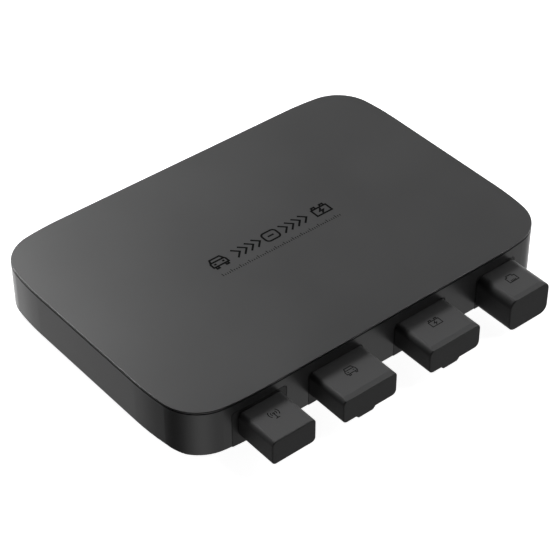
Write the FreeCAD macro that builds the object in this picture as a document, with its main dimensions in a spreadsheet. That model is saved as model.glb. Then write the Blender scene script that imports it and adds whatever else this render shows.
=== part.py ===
import FreeCAD, Part
import math
import os
from types import SimpleNamespace

import Sketcher
from FreeCAD import Vector

# A flat vehicle charger: a closed box with rounded corners, ribbed underneath, with a row of four
# capped ports along its front edge. X runs along that edge, -Y is the front, Z is up. The origin is
# the centre of the mounting holes, on the flat face of the base.

SIZES = {
    # Box, seen from above, and its three-arc corners: long, tight, long.
    "body_width": 250.0, "body_depth": 174.6, "body_height": 31.0,
    "corner_long": 161.3, "corner_tight": 24.4, "corner_reach": 44.9,
    # Cover plate and the shadow gap round its edge.
    "lip_thickness": 0.8, "shadow_gap": 0.8, "shadow_depth": 1.6, "core_thickness": 1.8,
    "lip_round": 0.4, "peg_radius": 2.0, "peg_inset_x": 34.0, "peg_inset_y": 30.0,
    # Housing: wall, skirt below the gasket ledge, deck under the cover.
    "wall": 4.0, "skirt": 2.0, "deck_thickness": 2.0, "wall_chamfer": 0.5,
    # Drip edge: the front wall reaches lower, and its ends slope up in the front corners.
    "drip_drop": 2.2, "drip_start": 8.1, "drip_slope": 13.5,
    # Base plate: flange inside the skirt, foot below it, heat-sink grooves in the foot.
    "flange_thickness": 2.5, "foot_height": 3.7, "foot_inset": 10.0, "foot_chamfer": 1.0,
    "groove_width": 3.0, "groove_depth": 3.0, "groove_pitch": 7.0, "groove_count": 9,
    "groove_start": 27.0, "groove_margin": 15.3,
    "mount_inset_x": 25.0, "mount_inset_y": 27.3, "mount_radius": 1.65, "mount_depth": 5.0,
    "gasket_thickness": 1.0, "gasket_width": 1.5,
    # Clearances between parts; how far a cut runs past a face; how far joined features overlap.
    "fit_gap": 0.3, "pin_gap": 0.05, "cap_gap": 0.35, "overrun": 1.0, "overlap": 0.2,
    # Ports, common to all four.
    "port_top_drop": 8.0, "notch_round": 2.0, "collar_reach": 2.0, "collar_thickness": 1.6,
    "seal_thickness": 0.8, "port_depth": 17.0, "spigot_length": 20.0, "spigot_wall": 1.7,
    "spigot_round": 0.42, "socket_depth": 24.0, "contact_length": 13.0, "contact_tail": 5.0,
    "clamp_leg": 2.0, "seat_depth": 2.5, "rear_inset": 1.0,
    # Row of ports: distance from each side of the box, and how the free length is shared out.
    "row_left": 27.2, "row_right": 28.7, "gap_share_1": 0.242, "gap_share_2": 0.3715,
    # Caps.
    "cap_wall": 1.6, "cap_front_wall": 1.8, "cap_edge_round": 0.7, "least_round": 0.8,
    "crease_band": 3.2, "crease_drop": 0.45,
    "antenna_width": 27.7, "antenna_height": 15.3, "antenna_length": 26.3, "antenna_round": 2.7,
    "vehicle_width": 35.7, "vehicle_height": 15.3, "vehicle_length": 26.6, "vehicle_round": 2.9,
    "battery_width": 35.5, "battery_height": 15.7, "battery_length": 26.9, "battery_round": 3.4,
    "data_width": 28.7, "data_height": 21.1, "data_length": 25.7, "data_round": 5.0,
    "antenna_flange": 33.9, "antenna_rise": 1.4,
    # Pull lip under the front edge of the two power caps.
    "lip_width": 12.2, "lip_slope": 1.4, "lip_proud": 1.3, "lip_length": 12.0, "lip_offset": 2.8,
    # Contacts.
    "power_pin_radius": 2.6, "power_pin_offset": 8.4, "signal_pin_radius": 0.6,
    "signal_pin_offset": 2.2, "coax_radius": 2.9, "coax_bore": 2.3, "coax_wire": 0.5,
    "coax_wire_root": 1.0,
    "blade_width": 0.5, "blade_height": 0.4, "blade_pitch": 1.27, "blade_rise": 2.6,
    # Screws.
    "screw_radius": 1.5, "screw_head_radius": 2.8, "screw_head_height": 1.7, "screw_length": 9.0,
    "drive_radius": 1.2, "screw_inset": 6.4, "boss_radius": 3.4, "boss_hole_depth": 10.0,
    "side_screw_offset": 40.0, "back_screw_offset": 58.0,
    # Boards.
    "board_thickness": 1.6, "board_standoff": 3.0, "board_margin_x": 20.0, "board_margin_front": 25.0,
    "board_margin_back": 17.0, "board_hole_inset": 6.0, "standoff_radius": 3.2,
    "board_screw_radius": 1.25, "board_screw_head": 2.3, "board_screw_head_height": 1.5,
    "control_width": 76.0, "control_depth": 28.0, "control_rise": 8.5, "control_thickness": 1.2,
    "control_inset": 22.0, "header_width": 34.0, "header_depth": 5.0, "header_inset": 1.0,
    # Parts on the boards.
    "magnetic_depth": 25.0, "magnetic_height": 13.0, "transformer_width": 36.0,
    "inductor_width": 25.0, "inductor_offset": 46.0, "core_plate": 4.0, "coil_gap": 0.6,
    "core_post_radius": 5.5, "coil_thickness": 2.0,
    "can_radius": 5.0, "can_height": 12.5, "can_pitch": 12.0, "can_row_inset": 13.0,
    "can_row_gap": 1.5, "transistor_width": 10.0, "transistor_depth": 9.0,
    "transistor_height": 1.4, "transistor_pitch": 16.0,
    "fuse_width": 19.0, "fuse_depth": 5.4, "fuse_height": 11.0, "fuse_blade": 0.8,
    "fuse_blade_width": 5.0, "fuse_blade_drop": 4.0, "fuse_blade_inset": 1.0,
    "shunt_width": 16.0, "shunt_depth": 7.0, "shunt_height": 1.0, "shunt_foot": 3.0, "shunt_lift": 1.5,
    "bar_width": 7.0, "bar_thickness": 1.5, "bar_rise": 2.5,
    "module_width": 18.0, "module_depth": 22.0, "module_height": 1.0, "module_inset_x": 16.0,
    "module_inset_y": 33.0, "shield_height": 3.4, "shield_wall": 0.4, "shield_margin": 1.2,
    "chip_width": 12.0, "chip_height": 1.2, "chip_inset": 4.0,
}

SHEET = "Dimensions"
PORTS = ("antenna", "vehicle", "battery", "data")
POWER_PORTS = ("vehicle", "battery")
BLADES = 8
TRANSISTORS = 8
CANS = 3
TINY = 1e-3


class Size:
    """A length that carries both its value and the formula it came from."""

    def __init__(self, number, text):
        self.number = number
        self.text = text

    def combine(self, other, sign, swap=False):
        other = other if isinstance(other, Size) else Size(float(other), repr(float(other)))
        left, right = (other, self) if swap else (self, other)
        values = {"+": lambda p, q: p + q, "-": lambda p, q: p - q,
                  "*": lambda p, q: p * q, "/": lambda p, q: p / q}
        return Size(values[sign](left.number, right.number), f"({left.text} {sign} {right.text})")

    def __add__(self, other):
        return self.combine(other, "+")

    def __radd__(self, other):
        return self.combine(other, "+", swap=True)

    def __sub__(self, other):
        return self.combine(other, "-")

    def __rsub__(self, other):
        return self.combine(other, "-", swap=True)

    def __mul__(self, other):
        return self.combine(other, "*")

    def __rmul__(self, other):
        return self.combine(other, "*", swap=True)

    def __truediv__(self, other):
        return self.combine(other, "/")

    def __neg__(self):
        return self.combine(-1, "*")

    def at_most(self, other):
        return Size(min(self.number, other.number), f"min({self.text}; {other.text})")

    def at_least(self, other):
        return Size(max(self.number, other.number), f"max({self.text}; {other.text})")


ZERO = Size(0.0, "0")


def as_size(value):
    return value if isinstance(value, Size) else ZERO + value


def fill_sheet(doc):
    """Write the sizes into the sheet and return them as Size values by name."""
    sheet = doc.addObject("Spreadsheet::Sheet", SHEET)
    for row, (name, value) in enumerate(SIZES.items(), start=1):
        sheet.set(f"A{row}", name)
        sheet.set(f"B{row}", str(value))
        sheet.setAlias(f"B{row}", name)
    doc.recompute()
    return SimpleNamespace(**{name: Size(sheet.get(name), f"{SHEET}.{name}") for name in SIZES})


doc = FreeCAD.newDocument("VehicleCharger")
d = fill_sheet(doc)
nodes = []

# Levels, from the base's mounting face up.
drip_level = d.foot_height - d.drip_drop
base_top = d.foot_height + d.flange_thickness
ledge_level = base_top + d.gasket_thickness
deck_top = d.body_height - d.lip_thickness - d.core_thickness
deck_under = deck_top - d.deck_thickness
rim_top = d.body_height - d.lip_thickness - d.shadow_gap
cap_top = d.body_height - d.port_top_drop
front = -(d.body_depth / 2)
board_under = base_top + d.board_standoff
board_top = board_under + d.board_thickness
control_under = board_top + d.control_rise
port_back = front + d.port_depth
board_front = front + d.board_margin_front
board_back = d.body_depth / 2 - d.board_margin_back
board_half = d.body_width / 2 - d.board_margin_x
board_middle = (board_front + board_back) / 2


# ---------------------------------------------------------------- building blocks


def bind(thing, sizes):
    for name, value in sizes.items():
        thing.setExpression(name, as_size(value).text)


def new_body(label):
    body = doc.addObject("PartDesign::Body", label)
    body.Label = label
    nodes.append(body)
    return body


def origin_plane(body, role):
    return next(item for item in body.Origin.OriginFeatures if item.Role == role)


def new_sketch(body, name, role, centre=(0, 0), offset=0):
    """A sketch parallel to an origin plane, with its own origin at centre, offset along the normal."""
    sketch = body.newObject("Sketcher::SketchObject", name)
    sketch.AttachmentSupport = [(origin_plane(body, role), "")]
    sketch.MapMode = "FlatFace"
    bind(sketch, {"AttachmentOffset.Base.x": centre[0], "AttachmentOffset.Base.y": centre[1],
                  "AttachmentOffset.Base.z": offset})
    return sketch


def constrain(sketch, size, kind, *where):
    index = sketch.addConstraint(Sketcher.Constraint(kind, *where, as_size(size).number))
    sketch.setExpression(f"Constraints[{index}]", as_size(size).text)


def rule(sketch, kind, *where):
    sketch.addConstraint(Sketcher.Constraint(kind, *where))


def draw_rectangle(sketch, width, height):
    """A sharp rectangle centred on the sketch's origin."""
    x, y = as_size(width).number / 2, as_size(height).number / 2
    corners = [Vector(-x, -y, 0), Vector(x, -y, 0), Vector(x, y, 0), Vector(-x, y, 0)]
    for here, there in zip(corners, corners[1:] + corners[:1]):
        sketch.addGeometry(Part.LineSegment(here, there), False)
    for side in range(4):
        rule(sketch, "Coincident", side, 2, (side + 1) % 4, 1)
        rule(sketch, "Vertical" if side % 2 else "Horizontal", side)
    rule(sketch, "Symmetric", 0, 1, 1, 2, -1, 1)
    constrain(sketch, width / 2, "DistanceX", -1, 1, 1, 2)
    constrain(sketch, height / 2, "DistanceY", -1, 1, 1, 2)


def draw_rounded(sketch, width, height, radius):
    """A rectangle with rounded corners, centred on the sketch's origin."""
    x, y, r = width.number / 2, height.number / 2, radius.number
    line = Part.LineSegment
    sketch.addGeometry([
        line(Vector(r - x, -y, 0), Vector(x - r, -y, 0)), line(Vector(x, r - y, 0), Vector(x, y - r, 0)),
        line(Vector(x - r, y, 0), Vector(r - x, y, 0)), line(Vector(-x, y - r, 0), Vector(-x, r - y, 0)),
    ], False)
    for corner in range(4):
        middle = Vector((x - r) * (1, 1, -1, -1)[corner], (y - r) * (-1, 1, 1, -1)[corner], 0)
        start = (corner - 1) * math.pi / 2
        circle = Part.Circle(middle, Vector(0, 0, 1), r)
        sketch.addGeometry(Part.ArcOfCircle(circle, start, start + math.pi / 2), False)
    for corner in range(4):
        rule(sketch, "Tangent", corner, 2, corner + 4, 1)
        rule(sketch, "Tangent", corner + 4, 2, (corner + 1) % 4, 1)
        rule(sketch, "Vertical" if corner % 2 else "Horizontal", corner)
        if corner:
            rule(sketch, "Equal", 4, corner + 4)
    rule(sketch, "Symmetric", 4, 3, 6, 3, -1, 1)
    constrain(sketch, radius, "Radius", 4)
    constrain(sketch, width / 2, "DistanceX", -1, 1, 1, 2)
    constrain(sketch, height / 2, "DistanceY", -1, 1, 2, 1)


def draw_circle(sketch, radius):
    sketch.addGeometry(Part.Circle(Vector(0, 0, 0), Vector(0, 0, 1), radius.number), False)
    rule(sketch, "Coincident", 0, 3, -1, 1)
    constrain(sketch, radius, "Radius", 0)


def corner_turn(long_radius, tight_radius, reach):
    """The angle each long arc turns through, so that the corner starts at reach from the edge."""
    low, high = 0.0, math.pi / 4
    for _ in range(50):
        turn = (low + high) / 2
        used = long_radius - (long_radius - tight_radius) * (math.cos(turn) - math.sin(turn))
        low, high = (turn, high) if used < reach else (low, turn)
    return turn


def draw_quarter(sketch, inset):
    """A quarter of the box's outline, moved inwards by inset: line, three tangent arcs, line."""
    x, y = d.body_width.number / 2, d.body_depth.number / 2
    long_radius, tight_radius, reach = d.corner_long.number, d.corner_tight.number, d.corner_reach.number
    turn = corner_turn(long_radius, tight_radius, reach)
    tight_reach = long_radius - (long_radius - tight_radius) * math.cos(turn)
    shrink = as_size(inset).number
    quarter_turn = math.pi / 2

    def arc(centre_x, centre_y, radius, start, end):
        circle = Part.Circle(Vector(centre_x, centre_y, 0), Vector(0, 0, 1), radius - shrink)
        return Part.ArcOfCircle(circle, start, end)

    side, end = x - shrink, y - shrink
    sketch.addGeometry([
        Part.LineSegment(Vector(0, end, 0), Vector(x - reach, end, 0)),
        arc(x - reach, y - long_radius, long_radius, quarter_turn - turn, quarter_turn),
        arc(x - tight_reach, y - tight_reach, tight_radius, turn, quarter_turn - turn),
        arc(x - long_radius, y - reach, long_radius, 0, turn),
        Part.LineSegment(Vector(side, y - reach, 0), Vector(side, 0, 0)),
        Part.LineSegment(Vector(side, 0, 0), Vector(0, 0, 0)),
        Part.LineSegment(Vector(0, 0, 0), Vector(0, end, 0)),
    ], False)
    for first, last in ((0, 1), (4, 3)):
        end_point = 2 if first == 0 else 1
        rule(sketch, "Tangent", first, end_point, last, 2 if first == 0 else 1)
    rule(sketch, "Tangent", 1, 1, 2, 2)
    rule(sketch, "Tangent", 2, 1, 3, 2)
    rule(sketch, "Coincident", 4, 2, 5, 1)
    rule(sketch, "Coincident", 5, 2, 6, 1)
    rule(sketch, "Coincident", 6, 2, 0, 1)
    rule(sketch, "Coincident", 6, 1, -1, 1)
    for flat in (0, 5):
        rule(sketch, "Horizontal", flat)
    for upright in (4, 6):
        rule(sketch, "Vertical", upright)
    constrain(sketch, d.corner_long - inset, "Radius", 1)
    constrain(sketch, d.corner_long - inset, "Radius", 3)
    constrain(sketch, d.corner_tight - inset, "Radius", 2)
    constrain(sketch, d.body_width / 2 - inset, "DistanceX", -1, 1, 4, 2)
    constrain(sketch, d.body_depth / 2 - inset, "DistanceY", -1, 1, 0, 1)
    constrain(sketch, d.body_width / 2 - d.corner_reach, "DistanceX", -1, 1, 0, 2)
    constrain(sketch, d.body_depth / 2 - d.corner_reach, "DistanceY", -1, 1, 4, 1)


def pad(body, sketch, length):
    """Material from the sketch along its normal."""
    feature = body.newObject("PartDesign::Pad", sketch.Name + "Pad")
    feature.Profile = sketch
    bind(feature, {"Length": length})
    sketch.Visibility = False
    return feature


def pocket(body, sketch, length, along_normal=False, both_ways=False):
    """Material taken away against the sketch's normal, or along it, or both ways."""
    feature = body.newObject("PartDesign::Pocket", sketch.Name + "Pocket")
    feature.Profile = sketch
    feature.Reversed = along_normal
    feature.Midplane = both_ways
    bind(feature, {"Length": length})
    sketch.Visibility = False
    return feature


def mirror(body, role):
    """The whole body so far, doubled across an origin plane."""
    feature = body.newObject("PartDesign::Mirrored", body.Name + "Mirror" + role[:2])
    feature.TransformMode = "Whole shape"
    feature.MirrorPlane = (origin_plane(body, role), [""])
    body.Tip = feature
    doc.recompute()


def dress(body, kind, size_name, size, chosen):
    """A fillet or chamfer on the edges for which chosen(edge) is true."""
    doc.recompute()
    base = body.Tip
    names = [f"Edge{i}" for i, edge in enumerate(base.Shape.Edges, start=1) if chosen(edge)]
    if not names:
        raise ValueError(f"{body.Label}: no edge to dress")
    feature = body.newObject("PartDesign::" + kind, f"{body.Name}{kind}{len(body.Group)}")
    feature.Base = (base, names)
    bind(feature, {size_name: size})


def lies_in(axis, level):
    """Chooses the edges that lie wholly in the plane axis = level."""
    def chosen(edge):
        box = edge.BoundBox
        low, high = getattr(box, axis + "Min"), getattr(box, axis + "Max")
        return abs(low - level.number) < TINY and abs(high - level.number) < TINY
    return chosen


def outline_block(body, name, inset, bottom, height):
    sketch = new_sketch(body, name, "XY_Plane", offset=bottom)
    draw_quarter(sketch, inset)
    return pad(body, sketch, height)


def outline_hollow(body, name, inset, bottom, height):
    sketch = new_sketch(body, name, "XY_Plane", offset=bottom)
    draw_quarter(sketch, inset)
    return pocket(body, sketch, height, along_normal=True)


def block(body, name, low, size, cut=False):
    """A box-shaped feature of a body, from its low corner."""
    kind = "PartDesign::SubtractiveBox" if cut else "PartDesign::AdditiveBox"
    feature = body.newObject(kind, body.Name + name)
    bind(feature, {"Length": size[0], "Width": size[1], "Height": size[2], "Placement.Base.x": low[0],
                   "Placement.Base.y": low[1], "Placement.Base.z": low[2]})
    return feature


def post(body, name, centre, bottom, radius, height, cut=False):
    """An upright round feature of a body."""
    kind = "PartDesign::SubtractiveCylinder" if cut else "PartDesign::AdditiveCylinder"
    feature = body.newObject(kind, body.Name + name)
    bind(feature, {"Radius": radius, "Height": height, "Placement.Base.x": centre[0],
                   "Placement.Base.y": centre[1], "Placement.Base.z": bottom})
    return feature


def solid_box(name, low, size):
    """A free-standing box, from its low corner."""
    feature = doc.addObject("Part::Box", name)
    bind(feature, {"Length": size[0], "Width": size[1], "Height": size[2], "Placement.Base.x": low[0],
                   "Placement.Base.y": low[1], "Placement.Base.z": low[2]})
    return feature


def box_node(label, low, size):
    """A sub-part that is one plain box."""
    feature = solid_box(label, low, size)
    feature.Label = label
    nodes.append(feature)


def solid_rod(name, start, radius, length, along_y=False):
    """A free-standing round bar from start, upwards or towards +Y."""
    feature = doc.addObject("Part::Cylinder", name)
    if along_y:
        feature.Placement = FreeCAD.Placement(Vector(), FreeCAD.Rotation(Vector(1, 0, 0), -90))
    bind(feature, {"Radius": radius, "Height": length, "Placement.Base.x": start[0],
                   "Placement.Base.y": start[1], "Placement.Base.z": start[2]})
    return feature


def group(label, pieces):
    """Several like solids that share one node."""
    feature = doc.addObject("Part::Compound", label)
    feature.Label = label
    feature.Links = pieces
    nodes.append(feature)
    return feature


def joined(label, pieces, node=True):
    """Touching solids made into one."""
    feature = doc.addObject("Part::MultiFuse", label)
    feature.Label = label
    feature.Shapes = pieces
    feature.Refine = True
    if node:
        nodes.append(feature)
    return feature


def without(label, base, tool, node=True):
    feature = doc.addObject("Part::Cut", label)
    feature.Label = label
    feature.Base = base
    feature.Tool = tool
    if node:
        nodes.append(feature)
    return feature


# ---------------------------------------------------------------- the row of ports


def port_row():
    """Each port's cap, notch and place, by name; places run left to right along the front."""
    flanges = {name: getattr(d, name + "_width") for name in PORTS}
    flanges["antenna"] = d.antenna_flange
    taken = flanges["antenna"] + flanges["vehicle"] + flanges["battery"] + flanges["data"]
    free = d.body_width - d.row_left - d.row_right - taken
    gaps = {"antenna": free * d.gap_share_1, "vehicle": free * d.gap_share_2,
            "battery": free * (1 - d.gap_share_1 - d.gap_share_2)}
    row, left = {}, d.row_left - d.body_width / 2
    for name in PORTS:
        height = getattr(d, name + "_height")
        flange = flanges[name]
        top = cap_top + d.antenna_rise if name == "antenna" else cap_top
        bottom = (cap_top - height).at_most(drip_level)
        row[name] = SimpleNamespace(
            name=name, centre_x=left + flange / 2, centre_z=cap_top - height / 2,
            width=getattr(d, name + "_width"), height=height, cap_round=getattr(d, name + "_round"),
            length=getattr(d, name + "_length"), flange=flange, flange_top=top, flange_bottom=bottom)
        if name in gaps:
            row[name].gap_middle = left + flange + gaps[name] / 2
            left = left + flange + gaps[name]
    return row


ports = port_row()


def contact_layout(port):
    """The round contacts of a port: offset in x and z from its middle, and radius."""
    power, signal = d.power_pin_radius, d.signal_pin_radius
    if port.name == "antenna":
        return [(ZERO, ZERO, d.coax_radius)]
    layout = [(-d.power_pin_offset, ZERO, power), (d.power_pin_offset, ZERO, power)]
    layout += [(ZERO, -d.signal_pin_offset, signal), (ZERO, d.signal_pin_offset, signal)]
    if port.name == "battery":
        layout.append((ZERO, ZERO, signal))
    return layout


def front_screw_places():
    inset = front + d.screw_inset
    return [(ports["antenna"].gap_middle, inset), (ports["battery"].gap_middle, inset)]


def screw_places():
    """Centres of the base screws: two each side, two at the back, two between the ports."""
    side, back = d.body_width / 2 - d.screw_inset, d.body_depth / 2 - d.screw_inset
    places = [(side * s, d.side_screw_offset * t) for s in (-1, 1) for t in (-1, 1)]
    places += [(d.back_screw_offset * s, back) for s in (-1, 1)]
    return places + front_screw_places()


def board_hole_places():
    """Centres of the main board's screws, one in each corner."""
    inset = d.board_hole_inset
    return [((board_half - inset) * s, y) for s in (-1, 1)
            for y in (board_front + inset, board_back - inset)]


# ---------------------------------------------------------------- box


def make_top_cover():
    """Thin stamped plate with a stepped edge that leaves a shadow gap above the housing."""
    body = new_body("top_cover")
    outline_block(body, "CoverLip", 0, deck_top + d.core_thickness, d.lip_thickness)
    outline_block(body, "CoverCore", d.shadow_depth, deck_top, d.core_thickness)
    mirror(body, "YZ_Plane")
    mirror(body, "XZ_Plane")
    for i, (x, y) in enumerate(peg_places()):
        post(body, f"Peg{i}", (x, y), deck_under, d.peg_radius, d.deck_thickness + d.core_thickness / 2)
    dress(body, "Fillet", "Radius", d.lip_round, lies_in("Z", d.body_height))


def peg_places():
    x, y = d.body_width / 2 - d.peg_inset_x, d.body_depth / 2 - d.peg_inset_y
    return [(x * s, y * t) for s in (-1, 1) for t in (-1, 1)]


def make_housing():
    """Cast wall and deck, open below, with a ledge for the gasket and a notch for each port."""
    body = new_body("housing")
    outline_block(body, "HousingOuter", 0, drip_level, rim_top - drip_level)
    outline_hollow(body, "HousingRecess", d.shadow_depth - d.fit_gap, deck_top, rim_top - deck_top)
    outline_hollow(body, "HousingCavity", d.wall, ledge_level, deck_under - ledge_level)
    outline_hollow(body, "HousingSkirt", d.skirt, drip_level, ledge_level - drip_level)
    mirror(body, "YZ_Plane")
    mirror(body, "XZ_Plane")
    dress(body, "Chamfer", "Size", d.wall_chamfer, drip_outer_edge)
    cut_behind_drip_edge(body)
    for i, (x, y) in enumerate(screw_places()):
        post(body, f"Boss{i}", (x, y), ledge_level, d.boss_radius, deck_under - ledge_level + d.overlap)
        post(body, f"BossHole{i}", (x, y), ledge_level, d.screw_radius, d.boss_hole_depth, cut=True)
    for i, (x, y) in enumerate(peg_places()):
        post(body, f"PegHole{i}", (x, y), deck_under, d.peg_radius + d.fit_gap, d.deck_thickness, cut=True)
    for port in ports.values():
        cut_notch(body, port)


def cut_behind_drip_edge(body):
    """Raises the foot of the wall everywhere behind the drip edge, with a slope between the two."""
    sketch = new_sketch(body, "DripCut", "YZ_Plane", (front + d.drip_start, drip_level))
    slope, drop, run = d.drip_slope.number, d.drip_drop.number, d.body_depth.number
    points = [Vector(0, 0, 0), Vector(run, 0, 0), Vector(run, drop, 0), Vector(slope, drop, 0)]
    for here, there in zip(points, points[1:] + points[:1]):
        sketch.addGeometry(Part.LineSegment(here, there), False)
    for side in range(4):
        rule(sketch, "Coincident", side, 2, (side + 1) % 4, 1)
    rule(sketch, "Coincident", 0, 1, -1, 1)
    rule(sketch, "Horizontal", 0)
    rule(sketch, "Vertical", 1)
    rule(sketch, "Horizontal", 2)
    constrain(sketch, d.body_depth, "DistanceX", -1, 1, 0, 2)
    constrain(sketch, d.drip_drop, "DistanceY", -1, 1, 2, 1)
    constrain(sketch, d.drip_slope, "DistanceX", -1, 1, 2, 2)
    pocket(body, sketch, d.body_width + d.overrun * 2, both_ways=True)


def drip_outer_edge(edge):
    """True for the outer edge of the wall's foot, but not for the skirt's inner edge."""
    middle = edge.valueAt((edge.FirstParameter + edge.LastParameter) / 2)
    on_side = abs(abs(middle.x) - d.body_width.number / 2) < TINY
    on_end = abs(abs(middle.y) - d.body_depth.number / 2) < TINY
    radius = getattr(edge.Curve, "Radius", 0.0)
    in_corner = any(abs(radius - full.number) < TINY for full in (d.corner_long, d.corner_tight))
    return lies_in("Z", drip_level)(edge) and (on_side or on_end or in_corner)


def cut_notch(body, port):
    """The opening in the front wall for a port, open at the foot, and the flat seat behind it."""
    tall = port.flange_top + d.fit_gap - drip_level + d.body_height / 2
    place = (port.centre_x, port.flange_top + d.fit_gap - tall / 2)
    sketch = new_sketch(body, f"{port.name}Notch", "XZ_Plane", place, d.body_depth / 2 + d.overrun)
    draw_rounded(sketch, port.flange + d.fit_gap * 2, tall, d.notch_round + d.fit_gap)
    pocket(body, sketch, d.wall + d.overrun + d.overlap)
    half = port.flange / 2 + d.collar_reach + d.fit_gap
    block(body, f"{port.name}Seat", (port.centre_x - half, front + d.wall, d.foot_height),
          (half * 2, d.seat_depth, port.flange_top + d.collar_reach + d.fit_gap - d.foot_height), cut=True)


def make_base_plate():
    """Cast base: a flange that closes the housing and a ribbed foot with tapped mounting holes."""
    body = new_body("base_plate")
    outline_block(body, "BaseFlange", d.skirt + d.fit_gap, d.foot_height, d.flange_thickness)
    outline_block(body, "BaseFoot", d.foot_inset, 0, d.foot_height)
    place = (d.groove_start + d.groove_width / 2, ZERO)
    sketch = new_sketch(body, "BaseGroove", "XY_Plane", place, 0)
    draw_rectangle(sketch, d.groove_width, d.body_depth - (d.foot_inset + d.groove_margin) * 2)
    first = pocket(body, sketch, d.groove_depth, along_normal=True)
    doc.recompute()
    rows = body.newObject("PartDesign::LinearPattern", "BaseGrooves")
    rows.Originals = [first]
    rows.Direction = (sketch, ["H_Axis"])
    rows.Mode = "Spacing"
    bind(rows, {"Offset": d.groove_pitch, "Occurrences": d.groove_count})
    body.Tip = rows
    doc.recompute()
    place = (d.body_width / 2 - d.mount_inset_x, d.body_depth / 2 - d.mount_inset_y)
    post(body, "MountHole", place, 0, d.mount_radius, d.mount_depth, cut=True)
    mirror(body, "YZ_Plane")
    mirror(body, "XZ_Plane")
    dress(body, "Chamfer", "Size", d.foot_chamfer, foot_outer_edge)
    for i, (x, y) in enumerate(screw_places()):
        post(body, f"ScrewHole{i}", (x, y), d.foot_height, d.screw_radius + d.fit_gap,
             d.flange_thickness, cut=True)
    for i, (x, y) in enumerate(board_hole_places()):
        post(body, f"Standoff{i}", (x, y), base_top - d.flange_thickness / 2, d.standoff_radius,
             d.board_standoff + d.flange_thickness / 2)
        post(body, f"StandoffHole{i}", (x, y), base_top, d.board_screw_radius, d.board_standoff, cut=True)
    for port in ports.values():
        reach = port.flange / 2 + d.collar_reach + d.fit_gap
        block(body, f"{port.name}Room", (port.centre_x - reach, front, d.foot_height),
              (reach * 2, d.port_depth + d.fit_gap, d.flange_thickness), cut=True)


def foot_outer_edge(edge):
    """True for the outer edge of the foot's mounting face: at level 0 and outside the grooves."""
    half_x, half_y = d.body_width / 2 - d.foot_inset, d.body_depth / 2 - d.foot_inset
    middle = edge.valueAt((edge.FirstParameter + edge.LastParameter) / 2)
    on_side = abs(middle.x) > half_x.number - TINY or abs(middle.y) > half_y.number - TINY
    in_corner = (abs(middle.x) > (half_x - d.corner_reach).number
                 and abs(middle.y) > (half_y - d.corner_reach).number)
    curved = getattr(edge.Curve, "Radius", 0.0) > d.mount_radius.number * 2
    return lies_in("Z", ZERO)(edge) and (on_side or (curved and in_corner))


def make_base_gasket():
    """Flat ring between the base flange and the housing's ledge, cut away at the ports."""
    body = new_body("base_gasket")
    outline_block(body, "GasketOuter", d.skirt + d.fit_gap, base_top, d.gasket_thickness)
    outline_hollow(body, "GasketInner", d.skirt + d.fit_gap + d.gasket_width, base_top, d.gasket_thickness)
    mirror(body, "YZ_Plane")
    mirror(body, "XZ_Plane")
    left, right = ports["antenna"], ports["data"]
    start = left.centre_x - left.flange / 2 - d.collar_reach - d.fit_gap
    end = right.centre_x + right.flange / 2 + d.collar_reach + d.fit_gap
    block(body, "PortRun", (start, front, base_top),
          (end - start, d.wall * 2, d.gasket_thickness), cut=True)


# ---------------------------------------------------------------- ports


def make_port(port):
    """Moulded port: a flange in the wall's notch, a collar behind it, and a hollow spigot in front."""
    body = new_body(port.name + "_port")
    tall = port.flange_top - port.flange_bottom + d.notch_round
    place = (port.centre_x, port.flange_top - tall / 2)
    sketch = new_sketch(body, port.name + "Flange", "XZ_Plane", place, d.body_depth / 2)
    draw_rounded(sketch, port.flange, tall, d.notch_round)
    pad(body, sketch, d.wall + d.seal_thickness).Reversed = True
    cut_from = (port.centre_x - port.flange / 2 - d.overrun, front - d.overrun,
                port.flange_bottom - d.notch_round - d.overrun)
    block(body, "SquareFoot", cut_from, (port.flange + d.overrun * 2,
          d.wall + d.seal_thickness + d.overrun * 2, d.notch_round + d.overrun), cut=True)
    trim_to_outline(body, port)

    collar_front = front + d.wall + d.seal_thickness
    low = d.foot_height + d.fit_gap
    collar = port.flange + d.collar_reach * 2
    block(body, "Collar", (port.centre_x - collar / 2, collar_front, low),
          (collar, d.collar_thickness, port.flange_top + d.collar_reach - low))
    rear = port_back - collar_front
    block(body, "Rear", (port.centre_x - port.width / 2 + d.rear_inset, collar_front, low),
          (port.width - d.rear_inset * 2, rear, cap_top - d.rear_inset - low))

    inset = d.cap_wall + d.cap_gap
    root = d.wall / 2
    sketch = port_sketch(body, port, "Spigot", inset, d.body_depth / 2 - root)
    pad(body, sketch, d.spigot_length + root)
    sketch = port_sketch(body, port, "Socket", inset + d.spigot_wall, d.body_depth / 2 + d.spigot_length)
    pocket(body, sketch, d.socket_depth)
    if port.name == "data":
        cut_blade_slots(body, port)
    else:
        for i, (x, z, radius) in enumerate(contact_layout(port)):
            place = (port.centre_x + x, port.centre_z + z)
            sketch = new_sketch(body, f"{port.name}Bore{i}", "XZ_Plane", place, -port_back)
            draw_circle(sketch, radius + d.pin_gap)
            pocket(body, sketch, d.port_depth, along_normal=True)
    dress(body, "Fillet", "Radius", d.spigot_round, lies_in("Y", front - d.spigot_length))


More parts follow.
